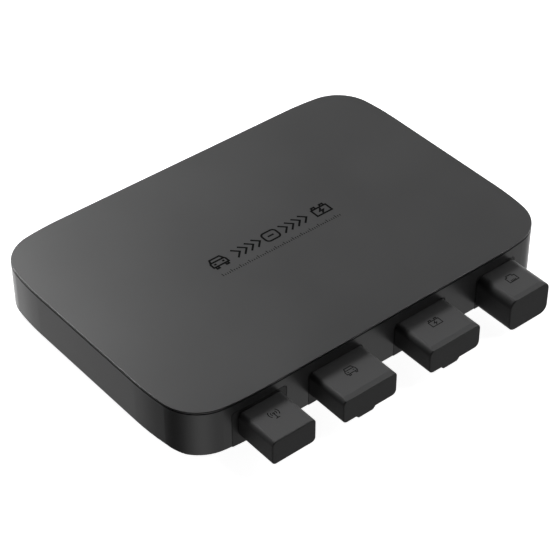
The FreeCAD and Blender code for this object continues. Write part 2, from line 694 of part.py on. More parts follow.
def trim_to_outline(body, port):
    """Shapes the outer end of an outer port's flange to the box's corner, which starts under it."""
    if port.name not in ("antenna", "data"):
        return
    side, margin = (-1, d.row_left) if port.name == "antenna" else (1, d.row_right)
    start = ((d.body_width / 2 - d.corner_reach) * side, front)
    sketch = new_sketch(body, port.name + "Trim", "XY_Plane", start, port.flange_bottom - d.overrun)
    reach, radius = d.corner_reach - margin + d.overrun, d.corner_long
    turn = math.asin(reach.number / radius.number)
    down, x, below = -math.pi / 2, reach.number * side, -d.overrun.number
    end = Vector(x, radius.number * (1 - math.cos(turn)), 0)
    circle = Part.Circle(Vector(0, radius.number, 0), Vector(0, 0, 1), radius.number)
    first, last = sorted((down, down + turn * side))
    sketch.addGeometry([
        Part.ArcOfCircle(circle, first, last),
        Part.LineSegment(Vector(0, 0, 0), Vector(0, below, 0)),
        Part.LineSegment(Vector(0, below, 0), Vector(x, below, 0)),
        Part.LineSegment(Vector(x, below, 0), end),
    ], False)
    near, far = (1, 2) if side > 0 else (2, 1)
    rule(sketch, "Coincident", 0, near, 1, 1)
    rule(sketch, "Coincident", 1, 1, -1, 1)
    rule(sketch, "Coincident", 1, 2, 2, 1)
    rule(sketch, "Coincident", 2, 2, 3, 1)
    rule(sketch, "Coincident", 3, 2, 0, far)
    rule(sketch, "PointOnObject", 0, 3, -2)
    rule(sketch, "Vertical", 1)
    rule(sketch, "Horizontal", 2)
    rule(sketch, "Vertical", 3)
    constrain(sketch, radius, "Radius", 0)
    constrain(sketch, d.overrun, "DistanceY", 1, 2, -1, 1)
    width_ends = (-1, 1, 2, 2) if side > 0 else (2, 2, -1, 1)
    constrain(sketch, reach, "DistanceX", *width_ends)
    pocket(body, sketch, port.flange_top - port.flange_bottom + d.overrun * 2, along_normal=True)


def port_sketch(body, port, name, inset, offset):
    """A cap's outline moved inwards, on a plane parallel to the front."""
    sketch = new_sketch(body, port.name + name, "XZ_Plane", (port.centre_x, port.centre_z), offset)
    radius = (port.cap_round - inset).at_least(d.least_round)
    draw_rounded(sketch, port.width - inset * 2, port.height - inset * 2, radius)
    return sketch


def blade_places(port):
    """Left edges of the flat contacts in the network socket."""
    return [port.centre_x + d.blade_pitch * (i - (BLADES - 1) / 2) - d.blade_width / 2
            for i in range(BLADES)]


def blade_level(port):
    return port.centre_z + d.blade_rise


def cut_blade_slots(body, port):
    gap = d.pin_gap
    for i, x in enumerate(blade_places(port)):
        block(body, f"BladeSlot{i}", (x - gap, port_back - d.port_depth, blade_level(port) - gap),
              (d.blade_width + gap * 2, d.port_depth + d.overrun, d.blade_height + gap * 2), cut=True)


def contact_front():
    """Front end of the contacts, inside the socket."""
    return front - d.spigot_length + d.socket_depth - d.contact_length


def make_contacts(port):
    """The port's own contacts, from inside the socket to the tails behind the port."""
    start = contact_front()
    length = port_back + d.contact_tail - start
    pieces = []
    if port.name == "data":
        for i, x in enumerate(blade_places(port)):
            low = (x, start, blade_level(port))
            pieces.append(solid_box(f"DataBlade{i}", low, (d.blade_width, length, d.blade_height)))
    elif port.name == "antenna":
        place = (port.centre_x, start, port.centre_z)
        shell = solid_rod("CoaxShell", place, d.coax_radius, length, along_y=True)
        bore = solid_rod("CoaxBore", place, d.coax_bore, d.contact_length, along_y=True)
        barrel = without("CoaxBarrel", shell, bore, node=False)
        wire = solid_rod("CoaxWire", place, d.coax_wire, d.contact_length + d.coax_wire_root, along_y=True)
        joined("antenna_contacts", [barrel, wire])
        return
    else:
        for i, (x, z, radius) in enumerate(contact_layout(port)):
            place = (port.centre_x + x, start, port.centre_z + z)
            pieces.append(solid_rod(f"{port.name}Pin{i}", place, radius, length, along_y=True))
    group(port.name + "_contacts", pieces)


def make_seal(port):
    """Soft frame round the flange, between the wall's inner face and the collar."""
    start = front + d.wall
    collar = port.flange + d.collar_reach * 2
    low = ledge_level
    high = port.flange_top + d.collar_reach
    outer = solid_box(port.name + "SealOuter", (port.centre_x - collar / 2, start, low),
                      (collar, d.seal_thickness, high - low))
    hole = port.flange + d.pin_gap * 2
    place = (port.centre_x - hole / 2, start - d.overrun, low - d.overrun)
    inner = solid_box(port.name + "SealInner", place,
                      (hole, d.seal_thickness + d.overrun * 2, port.flange_top + d.pin_gap - place[2]))
    without(port.name + "_seal", outer, inner)


def make_clamp(port):
    """Bridge over the back of a port, held down by the deck, with a leg each side onto the base."""
    body = new_body(port.name + "_clamp")
    depth = d.collar_thickness * 2
    start = port_back - depth - d.fit_gap * 2
    top = cap_top - d.rear_inset
    half = port.width / 2 - d.rear_inset
    block(body, "Bridge", (port.centre_x - half - d.clamp_leg, start, top),
          ((half + d.clamp_leg) * 2, depth, deck_under - top))
    for side, x in (("Left", -half - d.clamp_leg), ("Right", half)):
        block(body, "Leg" + side, (port.centre_x + x, start, d.foot_height),
              (d.clamp_leg, depth, top - d.foot_height))


# ---------------------------------------------------------------- caps


def make_cap(port):
    """Soft moulded cap, open at the back, that slides over the spigot."""
    body = new_body(port.name + "_cap")
    back = d.body_depth / 2 + d.fit_gap
    sketch = port_sketch(body, port, "CapOuter", ZERO, back)
    pad(body, sketch, port.length)
    tip = -(back + port.length)
    dress(body, "Fillet", "Radius", d.cap_edge_round, lies_in("Y", tip))
    if port.name != "antenna":
        cut_crease(body, port, tip)
    sketch = port_sketch(body, port, "CapInner", d.cap_wall, back)
    pocket(body, sketch, port.length - d.cap_front_wall, along_normal=True)
    if port.name in POWER_PORTS:
        add_pull_lip(body, port, tip)


def cut_crease(body, port, tip):
    """Takes a thin wedge off the top of a cap, so that its front band slopes down a little."""
    sketch = new_sketch(body, port.name + "Crease", "YZ_Plane", (tip, cap_top), port.centre_x)
    band, drop = d.crease_band.number, d.crease_drop.number
    points = [Vector(0, 0, 0), Vector(band, 0, 0), Vector(0, -drop, 0)]
    for here, there in zip(points, points[1:] + points[:1]):
        sketch.addGeometry(Part.LineSegment(here, there), False)
    for side in range(3):
        rule(sketch, "Coincident", side, 2, (side + 1) % 3, 1)
    rule(sketch, "Coincident", 0, 1, -1, 1)
    rule(sketch, "Horizontal", 0)
    rule(sketch, "Vertical", 2)
    constrain(sketch, d.crease_band, "DistanceX", -1, 1, 0, 2)
    constrain(sketch, d.crease_drop, "DistanceY", 2, 1, -1, 1)
    pocket(body, sketch, port.width + d.overrun * 2, both_ways=True)


def add_pull_lip(body, port, tip):
    """A shallow lip with sloped ends under a cap's front edge, to pull it off by."""
    place = (port.centre_x - d.lip_offset, port.centre_z - port.height / 2)
    sketch = new_sketch(body, port.name + "Lip", "XZ_Plane", place, -tip)
    half, proud, slope = d.lip_width.number / 2, d.lip_proud.number, d.lip_slope.number
    bite = d.cap_wall.number / 2
    points = [Vector(-half, 0, 0), Vector(slope - half, -proud, 0), Vector(half - slope, -proud, 0),
              Vector(half, 0, 0), Vector(half, bite, 0), Vector(-half, bite, 0)]
    for here, there in zip(points, points[1:] + points[:1]):
        sketch.addGeometry(Part.LineSegment(here, there), False)
    for side in range(6):
        rule(sketch, "Coincident", side, 2, (side + 1) % 6, 1)
    rule(sketch, "Horizontal", 1)
    rule(sketch, "Horizontal", 4)
    rule(sketch, "Vertical", 3)
    rule(sketch, "Vertical", 5)
    rule(sketch, "Symmetric", 0, 1, 2, 2, -1, 1)
    constrain(sketch, d.lip_width / 2, "DistanceX", -1, 1, 2, 2)
    constrain(sketch, d.lip_slope, "DistanceX", 1, 2, 2, 2)
    constrain(sketch, d.lip_slope, "DistanceX", 0, 1, 0, 2)
    constrain(sketch, d.lip_proud, "DistanceY", 1, 2, -1, 1)
    constrain(sketch, d.cap_wall / 2, "DistanceY", -1, 1, 3, 2)
    pad(body, sketch, d.lip_length).Reversed = True


# ---------------------------------------------------------------- inside


def make_main_board():
    """Power board on four standoffs."""
    body = new_body("main_board")
    block(body, "Sheet", (-board_half, board_front, board_under),
          (board_half * 2, board_back - board_front, d.board_thickness))
    for i, (x, y) in enumerate(board_hole_places()):
        post(body, f"Hole{i}", (x, y), board_under, d.board_screw_radius + d.fit_gap,
             d.board_thickness, cut=True)


def make_control_board():
    """Small logic board, raised over the back of the main board on a pin header, with its chip."""
    left, y = -d.control_width / 2, board_back - d.control_inset - d.control_depth / 2
    box_node("control_board", (left, y, control_under),
             (d.control_width, d.control_depth, d.control_thickness))
    top = control_under + d.control_thickness
    box_node("controller_chip", (-d.chip_width / 2, y + d.chip_inset, top),
             (d.chip_width, d.chip_width, d.chip_height))
    back = y + d.control_depth - d.header_inset
    box_node("board_header", (-d.header_width / 2, back - d.header_depth, board_top),
             (d.header_width, d.header_depth, d.control_rise))


def make_magnetic(name, x, width):
    """Ferrite core of two plates, a post and two cheeks, with a flat coil round the post."""
    depth, high, plate = d.magnetic_depth, d.magnetic_height, d.core_plate
    low = (x - width / 2, board_middle - depth / 2, board_top)
    frame = solid_box(name + "Frame", low, (width, depth, high))
    room = solid_box(name + "Room", (low[0] + plate, low[1] - d.overrun, board_top + plate),
                     (width - plate * 2, depth + d.overrun * 2, high - plate * 2))
    post_core = solid_rod(name + "Post", (x, board_middle, board_top + plate / 2), d.core_post_radius,
                          high - plate)
    opened = without(name + "Open", frame, room, node=False)
    joined(name + "_core", [opened, post_core])
    bottom = board_top + plate + d.coil_gap
    coil_high = high - plate * 2 - d.coil_gap * 2
    radius = d.core_post_radius + d.coil_gap
    ring = solid_rod(name + "Ring", (x, board_middle, bottom), radius + d.coil_thickness, coil_high)
    eye = solid_rod(name + "Eye", (x, board_middle, bottom - d.overrun), radius, coil_high + d.overrun * 2)
    without(name + "_coil", ring, eye)


def make_capacitors(name, beside, half_width, side):
    """Row of upright electrolytic cans on the board, just outside the part that stands beside it."""
    y = board_front + d.can_row_inset
    first = beside + (half_width + d.can_row_gap + d.can_radius) * side
    places = [(first + d.can_pitch * (i * side), y, board_top) for i in range(CANS)]
    group(name, [solid_rod(f"{name}{i}", place, d.can_radius, d.can_height)
                 for i, place in enumerate(places)])


def make_transistors():
    """Flat transistors under the board and the soft pads that carry their heat to the base."""
    places = [d.transistor_pitch * (i - (TRANSISTORS - 1) / 2) for i in range(TRANSISTORS)]
    low = board_under - d.transistor_height
    size = (d.transistor_width, d.transistor_depth, d.transistor_height)
    lefts = [x - d.transistor_width / 2 for x in places]
    group("transistors", [solid_box(f"Transistor{i}", (left, board_middle, low), size)
                          for i, left in enumerate(lefts)])
    size = (d.transistor_width, d.transistor_depth, low - base_top)
    group("thermal_pads", [solid_box(f"ThermalPad{i}", (left, board_middle, base_top), size)
                           for i, left in enumerate(lefts)])


def make_fuse():
    """Blade fuse standing on the board near the vehicle port."""
    x = ports["vehicle"].centre_x - d.fuse_width / 2
    y = board_front + d.can_row_inset + d.can_radius / 2
    lift = board_top + d.fuse_blade_drop
    box_node("fuse_case", (x, y, lift), (d.fuse_width, d.fuse_depth, d.fuse_height - d.fuse_blade_drop))
    middle = y + d.fuse_depth / 2 - d.fuse_blade / 2
    size = (d.fuse_blade_width, d.fuse_blade, d.fuse_blade_drop)
    right = x + d.fuse_width - d.fuse_blade_width - d.fuse_blade_inset
    group("fuse_blades", [solid_box(f"FuseBlade{i}", (left, middle, board_top), size)
                          for i, left in enumerate((x + d.fuse_blade_inset, right))])


def make_shunt():
    """Bridge-shaped measuring resistor near the battery port."""
    x = ports["battery"].centre_x - d.shunt_width / 2
    y = board_front + d.can_row_inset
    feet = [solid_box(f"ShuntFoot{i}", (left, y, board_top), (d.shunt_foot, d.shunt_depth, d.shunt_lift))
            for i, left in enumerate((x, x + d.shunt_width - d.shunt_foot))]
    bar = solid_box("ShuntBar", (x, y, board_top + d.shunt_lift),
                    (d.shunt_width, d.shunt_depth, d.shunt_height))
    joined("shunt", feet + [bar])


def make_bus_bars(port):
    """Two copper strips that carry a power port's current from its pins down to the board."""
    tails_end = port_back + d.contact_tail
    depth = board_front + d.bar_rise * 2 - tails_end
    bars = []
    for side, x in (("Left", -d.power_pin_offset), ("Right", d.power_pin_offset)):
        left = port.centre_x + x - d.bar_width / 2
        name = f"{port.name}Bar{side}"
        upright = solid_box(name + "Upright", (left, tails_end, board_top),
                            (d.bar_width, d.bar_thickness, port.centre_z + d.bar_rise - board_top))
        foot = solid_box(name + "Foot", (left, tails_end, board_top), (d.bar_width, depth, d.bar_thickness))
        bars.append(joined(name, [upright, foot], node=False))
    group(port.name + "_bus_bars", bars)


def make_wireless_module():
    """Small radio board near the antenna port, under a folded shield."""
    x = -board_half + d.module_inset_x
    y = board_front + d.module_inset_y
    size = (d.module_width, d.module_depth, d.module_height)
    box_node("radio_module", (x, y, board_top), size)
    margin = d.shield_margin
    low = board_top + d.module_height
    outer = solid_box("ShieldOuter", (x + margin, y + margin, low),
                      (d.module_width - margin * 2, d.module_depth - margin * 2, d.shield_height))
    inset = margin + d.shield_wall
    inner = solid_box("ShieldInner", (x + inset, y + inset, low - d.overrun),
                      (d.module_width - inset * 2, d.module_depth - inset * 2,
                       d.shield_height - d.shield_wall + d.overrun))
    without("radio_shield", outer, inner)


def make_base_screws():
    """Round-headed screws, from below through the base flange into the housing's bosses."""
    screws = []
    for i, (x, y) in enumerate(screw_places()):
        shank_radius = d.screw_radius - d.pin_gap
        shank = solid_rod(f"BaseShank{i}", (x, y, d.foot_height - d.overlap), shank_radius, d.screw_length)
        head = solid_rod(f"BaseHead{i}", (x, y, d.foot_height - d.screw_head_height),
                         d.screw_head_radius, d.screw_head_height)
        socket = solid_rod(f"BaseDrive{i}", (x, y, d.foot_height - d.screw_head_height - d.overlap),
                           d.drive_radius, d.screw_head_height / 2 + d.overlap)
        whole = joined(f"BaseScrewWhole{i}", [shank, head], node=False)
        screws.append(without(f"BaseScrew{i}", whole, socket, node=False))
    group("base_screws", screws)


def make_board_screws():
    """Screws that hold the main board to the standoffs."""
    screws = []
    for i, (x, y) in enumerate(board_hole_places()):
        depth = d.board_thickness + d.board_standoff - d.overlap
        shank_radius = d.board_screw_radius - d.pin_gap
        shank = solid_rod(f"BoardShank{i}", (x, y, board_top - depth), shank_radius, depth)
        head = solid_rod(f"BoardHead{i}", (x, y, board_top), d.board_screw_head, d.board_screw_head_height)
        screws.append(joined(f"BoardScrew{i}", [shank, head], node=False))
    group("board_screws", screws)


def check_document():
    """Stops if any object failed, or any sub-part is empty or not valid."""
    failed = [item.Label for item in doc.Objects if {"Invalid", "Error"} & set(item.State)]
    if failed:
        raise RuntimeError("failed: " + ", ".join(failed))
    for node in nodes:
        if node.Shape.isNull() or not node.Shape.isValid() or node.Shape.Volume <= 0:
            raise RuntimeError(f"{node.Label}: shape is not usable")


def main():
    make_top_cover()
    make_housing()
    make_base_plate()
    make_base_gasket()
    for port in ports.values():
        make_port(port)
        make_contacts(port)
        make_seal(port)
        make_clamp(port)
        make_cap(port)
    for name in POWER_PORTS:
        make_bus_bars(ports[name])
    make_main_board()
    make_control_board()
    make_magnetic("transformer", ZERO, d.transformer_width)
    make_magnetic("left_inductor", -d.inductor_offset, d.inductor_width)
    make_magnetic("right_inductor", d.inductor_offset, d.inductor_width)
    make_capacitors("input_capacitors", ports["vehicle"].centre_x, d.fuse_width / 2, -1)
    make_capacitors("output_capacitors", ports["battery"].centre_x, d.shunt_width / 2, 1)
    make_transistors()
    make_fuse()
    make_shunt()
    make_wireless_module()
    make_base_screws()
    make_board_screws()
    doc.recompute()
    check_document()
    os.makedirs("parts", exist_ok=True)
    for node in nodes:
        node.Shape.exportStep(f"parts/{node.Label}.step")


main()
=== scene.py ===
import math

import bpy
import numpy as np
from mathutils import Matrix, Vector


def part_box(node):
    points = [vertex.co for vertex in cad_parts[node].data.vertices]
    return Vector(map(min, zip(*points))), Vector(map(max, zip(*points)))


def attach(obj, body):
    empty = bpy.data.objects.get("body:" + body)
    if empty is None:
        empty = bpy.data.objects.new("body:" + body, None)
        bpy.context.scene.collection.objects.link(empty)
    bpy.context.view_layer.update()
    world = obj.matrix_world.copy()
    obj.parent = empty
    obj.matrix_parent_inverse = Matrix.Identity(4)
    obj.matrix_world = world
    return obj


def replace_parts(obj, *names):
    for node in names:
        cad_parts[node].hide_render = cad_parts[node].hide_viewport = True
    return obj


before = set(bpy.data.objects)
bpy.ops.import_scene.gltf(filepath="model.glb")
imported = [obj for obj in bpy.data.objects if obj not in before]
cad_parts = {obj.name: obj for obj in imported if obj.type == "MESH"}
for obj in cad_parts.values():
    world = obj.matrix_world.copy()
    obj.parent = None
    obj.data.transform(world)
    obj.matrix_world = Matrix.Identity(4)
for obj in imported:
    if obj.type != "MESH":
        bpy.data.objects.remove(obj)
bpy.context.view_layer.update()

MM = 0.001

# Studio. The charger lies on a plain pale table under soft boxes: a tight strong one behind it, wide
# low ones to its right, and weak ones in front, beside and below that fill the walls. A long lens
# looks down from the front left.

base_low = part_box("base_plate")[0]
cover_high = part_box("top_cover")[1]


class Tone:
    """A value in a node tree. Sums on tones add the Math nodes that work them out."""

    def __init__(self, recipe, socket):
        self.recipe = recipe
        self.socket = socket

    def sum(self, operation, *values):
        return self.recipe.node("ShaderNodeMath", {"operation": operation}, dict(enumerate(values)))

    def __add__(self, other):
        return self.sum("ADD", self, other)

    def __radd__(self, other):
        return self.sum("ADD", other, self)

    def __rsub__(self, other):
        return self.sum("SUBTRACT", other, self)

    def __mul__(self, other):
        return self.sum("MULTIPLY", self, other)

    def __rmul__(self, other):
        return self.sum("MULTIPLY", other, self)

    def __pow__(self, other):
        return self.sum("POWER", self, other)

    def over(self, limit):
        """1 where the tone is over limit, 0 elsewhere."""
        return self.sum("GREATER_THAN", self, limit)

    def near(self, middle, reach):
        """1 within reach of middle, 0 elsewhere."""
        return self.sum("COMPARE", self, middle, reach)


class Recipe:
    """A node tree and the one way to add to it."""

    def __init__(self, tree):
        self.tree = tree

    def node(self, kind, settings, inputs, output=0):
        """Adds a node, sets its settings, then its sockets from numbers, colours or tones."""
        made = self.tree.nodes.new(kind)
        for setting, value in settings.items():
            setattr(made, setting, value)
        for socket, value in inputs.items():
            if isinstance(value, Tone):
                self.tree.links.new(value.socket, made.inputs[socket])
            else:
                made.inputs[socket].default_value = value
        return Tone(self, made.outputs[output])


def towards(azimuth, elevation):
    """The direction at a compass azimuth (0 is +Y, 90 is +X) and an elevation, in degrees."""
    turn, lift = math.radians(azimuth), math.radians(elevation)
    return Vector((math.sin(turn) * math.cos(lift), math.cos(turn) * math.cos(lift), math.sin(lift)))


# Each soft box: azimuth, elevation, tightness, strength. Its light fades from its middle as the
# cosine to the power of its tightness.
SOFT_BOXES = (
    (90, 15, 12, 2.70), (10, 42, 150, 2.25), (60, -15, 12, 1.28), (30, -45, 12, 1.18), (210, -45, 12, 0.52),
    (330, -15, 12, 0.50), (0, -15, 12, 0.46), (300, 15, 12, 0.35), (120, -45, 12, 0.20), (0, -45, 12, 0.20),
    (150, -45, 12, 0.20), (60, 15, 12, 0.12), (118, 52, 400, 0.38), (240, -45, 12, 0.06), (30, 30, 60, 0.06),
)
BACKDROP = 1.0

world = bpy.data.worlds.new("studio_air")
world.use_nodes = True
bpy.context.scene.world = world
air = Recipe(world.node_tree)
direction = air.node("ShaderNodeTexCoord", {}, {}, output="Generated")
light = 0.0
for azimuth, elevation, tightness, strength in SOFT_BOXES:
    facing = air.node("ShaderNodeVectorMath", {"operation": "DOT_PRODUCT"},
                      {0: direction, 1: towards(azimuth, elevation)}, output="Value")
    glow = facing.sum("MAXIMUM", facing, 0.0) ** tightness
    light = light + glow * (strength * (tightness + 1) / (2 * math.pi))
seen = air.node("ShaderNodeLightPath", {}, {}, output="Is Camera Ray")
level = light * (1 - seen) + seen * BACKDROP
world.node_tree.links.new(level.socket, world.node_tree.nodes["Background"].inputs["Strength"])
world.node_tree.nodes["Background"].inputs["Color"].default_value = (1, 1, 1, 1)

LENS, SENSOR = 124.17, 36.0
CAMERA_X, CAMERA_Y, CAMERA_OVER_COVER = -0.5118, -0.6244, 0.6521
LOOK_DOWN, LOOK_RIGHT = 40.16, 39.54
camera = bpy.data.objects.new("camera", bpy.data.cameras.new("camera"))
camera.data.lens = LENS
camera.data.sensor_width = SENSOR
camera.location = (CAMERA_X, CAMERA_Y, cover_high.z + CAMERA_OVER_COVER)
camera.rotation_euler = (math.radians(90 - LOOK_DOWN), 0, math.radians(-LOOK_RIGHT))
bpy.context.scene.collection.objects.link(camera)
bpy.context.scene.camera = camera
bpy.context.scene.view_settings.view_transform = "Standard"


class Finish(Recipe):
    """A material with one Principled shader; its constants are set on the shader's own sockets."""

    def __init__(self, name, **constants):
        self.material = bpy.data.materials.new(name)
        self.material.use_nodes = True
        super().__init__(self.material.node_tree)
        self.shader = self.tree.nodes["Principled BSDF"]
        for socket, value in constants.items():
            self.shader.inputs[socket.replace("_", " ")].default_value = value
        self.place = self.node("ShaderNodeTexCoord", {}, {}, output="Object")

    def along(self, axis):
        """The place's x, y or z, in metres."""
        return self.node("ShaderNodeSeparateXYZ", {}, {0: self.place}, output=axis)

    def stretched(self, x, y, z):
        """The place, scaled along each axis."""
        return self.node("ShaderNodeMapping", {}, {"Vector": self.place, "Scale": (x, y, z)})

    def grain(self, size, detail=2.0, place=None):
        """Noise whose lumps are about size across, from 0 to 1."""
        return self.node("ShaderNodeTexNoise", {}, {"Vector": place or self.place, "Scale": 1 / size,
                                                    "Detail": detail})

    def blend(self, share, first, second):
        """A colour between two colours or colour tones."""
        return self.node("ShaderNodeMix", {"data_type": "RGBA"}, {0: share, 6: first, 7: second}, output=2)

    def ease(self, value, low, high, to_low=0.0, to_high=1.0):
        """Value from low to high, spread from to_low to to_high and held beyond them."""
        return self.node("ShaderNodeMapRange", {}, {0: value, 1: low, 2: high, 3: to_low, 4: to_high})

    def feed(self, socket, value):
        self.tree.links.new(value.socket, self.shader.inputs[socket])
        return self

    def relief(self, height, depth):
        """Bumps the surface by a tone from 0 to 1 that stands for depth metres."""
        return self.feed("Normal", self.node("ShaderNodeBump", {}, {"Height": height, "Distance": depth}))


def grey(level):
    return (level, level, level * 1.02, 1.0)


TABLE_REACH, TABLE_DROP, TABLE_GLOW = 3.0, 0.5 * MM, 0.95
table_finish = Finish("pale_table", Roughness=0.9)
table_finish.feed("Base Color", table_finish.blend(table_finish.grain(0.08), grey(0.80), grey(0.82)))
table_finish.shader.inputs["Emission Strength"].default_value = TABLE_GLOW
table_finish.shader.inputs["Emission Color"].default_value = (1, 1, 1, 1)
square = TABLE_REACH * np.array([(-1, -1), (1, -1), (1, 1), (-1, 1)])
table_top = bpy.data.meshes.new("table")
table_top.from_pydata([(x, y, base_low.z - TABLE_DROP) for x, y in square], [], [(0, 1, 2, 3)])
table_top.materials.append(table_finish.material)
table = bpy.data.objects.new("table", table_top)
bpy.context.scene.collection.objects.link(table)
for ray in ("visible_glossy", "visible_diffuse", "visible_shadow"):
    setattr(table, ray, False)


def dress(node_names, finish):
    """Gives CAD nodes a finish."""
    for name in node_names:
        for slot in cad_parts[name].material_slots:
            slot.material = finish.material


# Cover plate, housing and base. All three are aluminium under a thin satin coating, dark grey, very
# slightly uneven in tone and with a fine dry grain. The base is rougher, as it was cast.


def coated_metal(name, level, roughness, grain_size, grain_depth):
    finish = Finish(name, Specular_IOR_Level=0.5)
    cloud = finish.grain(45 * MM, 3.0)
    speck = finish.grain(grain_size)
    finish.feed("Base Color", finish.blend(cloud * 0.7 + speck * 0.3, grey(level * 0.94), grey(level * 1.06)))
    uneven = cloud * 0.5 + speck * 0.5
    finish.feed("Roughness", finish.ease(uneven, 0.3, 0.7, roughness - 0.03, roughness + 0.03))
    return finish.relief(speck, grain_depth)


dress(["top_cover"], coated_metal("cover_coating", 0.031, 0.32, 0.35 * MM, 0.004 * MM))
dress(["housing"], coated_metal("housing_coating", 0.036, 0.32, 0.35 * MM, 0.004 * MM))
dress(["base_plate"], coated_metal("base_coating", 0.035, 0.55, 0.6 * MM, 0.02 * MM))


# Printed marks. Dull black ink, screen-printed about 0.03 mm thick: a picture row and a fine scale on
# the cover, and a small line picture on each cap. There is no lettering.

INK = 0.03 * MM


def moulded(name, level, roughness, grain_size, grain_depth, shine=0.4):
    """Dull black moulding with a fine spark-eroded grain."""
    finish = Finish(name, Specular_IOR_Level=shine)
    mottle = finish.grain(grain_size * 4) * 0.4 + finish.grain(grain_size, 3.0) * 0.6
    finish.feed("Base Color", finish.blend(mottle, grey(level * 0.85), grey(level * 1.15)))
    finish.feed("Roughness", finish.ease(mottle, 0.3, 0.7, roughness - 0.05, roughness + 0.05))
    return finish.relief(mottle, grain_depth)


ink = moulded("mark_ink", 0.003, 0.8, 0.5 * MM, 0.002 * MM, shine=0.03)


def new_piece(name, corners, faces, finish, body, slot):
    """A mesh from an array of corners in metres and a list of faces, with its finish, on a body."""
    mesh = bpy.data.meshes.new(name)
    mesh.from_pydata(corners.tolist(), [], [list(map(int, face)) for face in faces])
    mesh.materials.append(finish.material)
    piece = bpy.data.objects.new(name, mesh)
    bpy.context.scene.collection.objects.link(piece)
    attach(piece, body)
    return piece


def several(shapes):
    """Like shapes, each (corners, faces), as one set of corners and faces."""
    starts = np.cumsum([0] + [len(corners) for corners, _ in shapes[:-1]])
    return (np.vstack([corners for corners, _ in shapes]),
            np.vstack([faces + start for (_, faces), start in zip(shapes, starts)]))


def ribbon(path, width, bottom, closed):
    """A flat strip along a path. Each point moves half the width to both sides along the mitre, which
    is the sum of the two edge normals over one plus their product, at two levels an ink film apart."""
    path = np.asarray(path, float)
    ahead = np.roll(path, -1, 0) - path
    ahead /= np.linalg.norm(ahead, axis=1)[:, None] + 1e-12
    behind = np.roll(ahead, 1, 0)
    if not closed:
        ahead[-1], behind[0] = behind[-1], ahead[0]
    normal_in, normal_out = behind[:, ::-1] * (-1, 1), ahead[:, ::-1] * (-1, 1)
    mitre = (normal_in + normal_out) / (1 + (normal_in * normal_out).sum(1))[:, None]
    left, right = path + mitre * width / 2, path - mitre * width / 2
    count = len(path)
    low, high = np.full(count, bottom), np.full(count, bottom + INK)
    corners = np.stack([np.c_[left, low], np.c_[right, low], np.c_[right, high], np.c_[left, high]], 1)
    here = np.arange(count if closed else count - 1)[:, None] * 4
    there = (here + 4) % (count * 4)
    side = np.arange(4)[None]
    turn = (side + 1) % 4
    faces = np.stack([here + side, there + side, there + turn, here + turn], 2).reshape(-1, 4)
    if not closed:
        end = (count - 1) * 4
        faces = np.vstack([faces, [0, 1, 2, 3], [end + 3, end + 2, end + 1, end]])
    return corners.reshape(-1, 3), faces


def printed(name, strokes, width, centre, level, body):
    """One printed mark: strokes are (path in millimetres, closed) pairs, joined in one mesh."""
    strips = [ribbon(np.asarray(path, float) * MM + centre, width, level, closed) for path, closed in strokes]
    return new_piece(name, *several(strips), ink, body, "port_plastic")


def arc(x, y, radius, start, end, steps=16):
    """Points round a circle from one angle to another, in degrees."""
    angle = np.radians(np.linspace(start, end, steps))
    return np.c_[x + radius * np.cos(angle), y + radius * np.sin(angle)]


def rounded_box(x, y, width, height, radius):
    """A closed rectangle with rounded corners, four arcs joined by straight sides."""
    w, h = width / 2 - radius, height / 2 - radius
    corners = [(w, h, 0), (-w, h, 90), (-w, -h, 180), (w, -h, 270)]
    return np.vstack([arc(x + dx, y + dy, radius, a, a + 90, 6) for dx, dy, a in corners])


def placed(strokes, x, y, scale):
    """Strokes moved to a place and scaled."""
    return [(np.asarray(path, float) * scale + (x, y), closed) for path, closed in strokes]


CAR_FRONT = [
    ([(-3.3, -1.6), (3.3, -1.6), (3.3, 0.4), (2.9, 1.0), (-2.9, 1.0), (-3.3, 0.4)], True),
    ([(-2.9, 1.0), (-2.2, 2.7), (2.2, 2.7), (2.9, 1.0)], False),
    ([(-2.3, -0.3), (-1.3, -0.3)], False), ([(1.3, -0.3), (2.3, -0.3)], False),
    ([(-2.6, -1.6), (-2.6, -2.7), (-1.6, -2.7), (-1.6, -1.6)], False),
    ([(1.6, -1.6), (1.6, -2.7), (2.6, -2.7), (2.6, -1.6)], False),
]
STORAGE_BOX = [
    ([(-3.4, -2.4), (3.4, -2.4), (3.4, 1.5), (-3.4, 1.5)], True),
    ([(-2.6, 1.5), (-2.6, 2.6), (-1.2, 2.6), (-1.2, 1.5)], False),
    ([(1.2, 1.5), (1.2, 2.6), (2.6, 2.6), (2.6, 1.5)], False),
    ([(0.5, 1.0), (-0.8, -0.5), (0.8, -0.5), (-0.5, -1.9)], False),
]
RADIO_MAST = [([(0, -2.8), (0, 0.4)], False), ([(-1.2, -2.8), (1.2, -2.8)], False),
              (arc(0, 0.8, 0.45, 0, 330, 12), True)]
RADIO_MAST += [(arc(0, 0.8, radius, middle - 42, middle + 42, 12), False)
               for radius in (1.6, 3.0) for middle in (0, 180)]
NETWORK_SOCKET = [([(-3.2, -2.6), (3.2, -2.6), (3.2, 1.4), (1.8, 1.4), (1.8, 2.6), (-1.8, 2.6), (-1.8, 1.4),
                    (-3.2, 1.4)], True)]
NETWORK_SOCKET += [([(x, -2.6), (x, -1.2)], False) for x in (-1.5, -0.5, 0.5, 1.5)]

